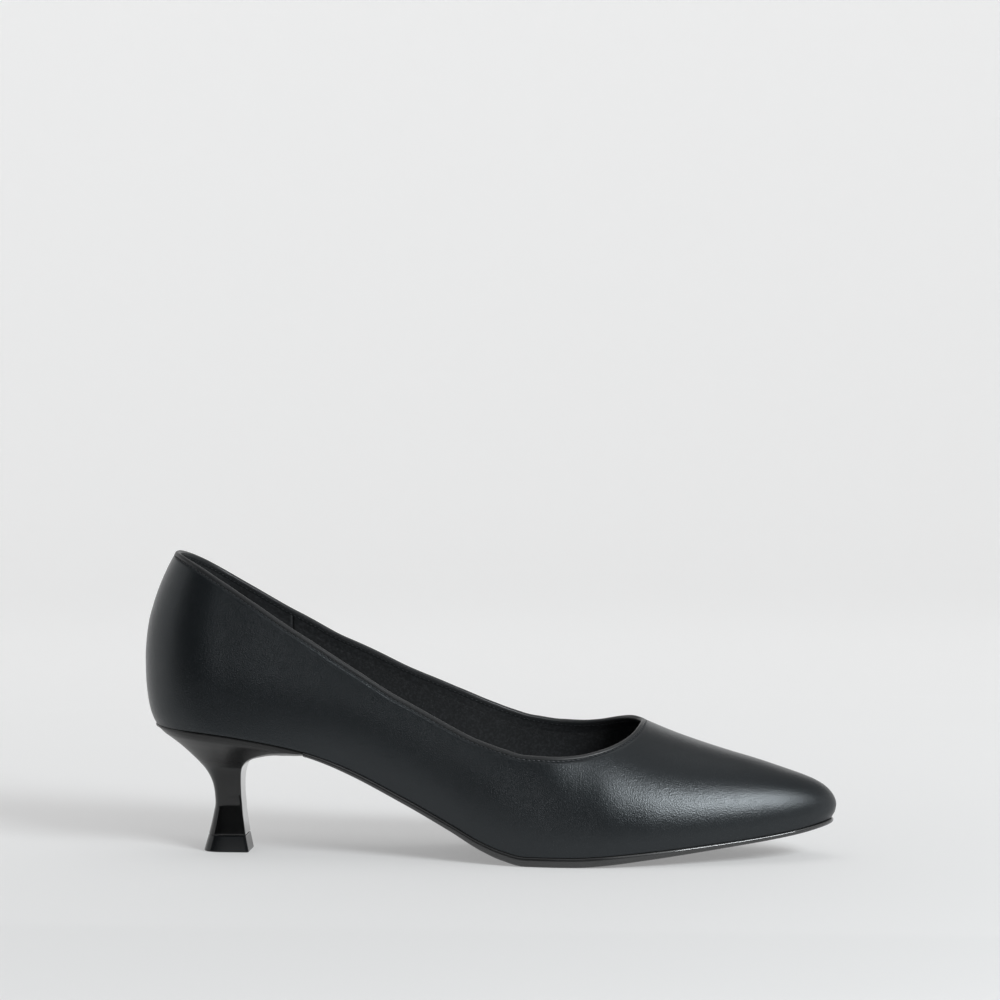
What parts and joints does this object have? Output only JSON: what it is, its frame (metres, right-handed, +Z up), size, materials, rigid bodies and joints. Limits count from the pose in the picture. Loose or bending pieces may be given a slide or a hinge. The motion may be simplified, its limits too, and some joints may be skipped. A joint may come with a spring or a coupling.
{
  "type": "kitten heel pump",
  "caption": "Low-cut pointed pump with a slender flared kitten heel, thin outsole and a smooth one-piece upper, open at the topline.",
  "frame": {"origin": "centre of the top lift's ground face, on the floor", "axes": "+X from the heel to the toe, +Y to the medial side, +Z up"},
  "size_m": [0.2618, 0.0741, 0.1143],
  "materials": {
    "upper_leather": "smooth black leather, semi-gloss",
    "insole_sock": "matt black sock lining",
    "outsole": "satin black",
    "heel_lacquer": "gloss black lacquer",
    "top_lift": "satin black"
  },
  "bodies": {
    "root": {"upper": "upper_leather", "insole": "insole_sock", "outsole": "outsole", "heel": "heel_lacquer", "top_lift": "top_lift"}
  },
  "joints": []
}
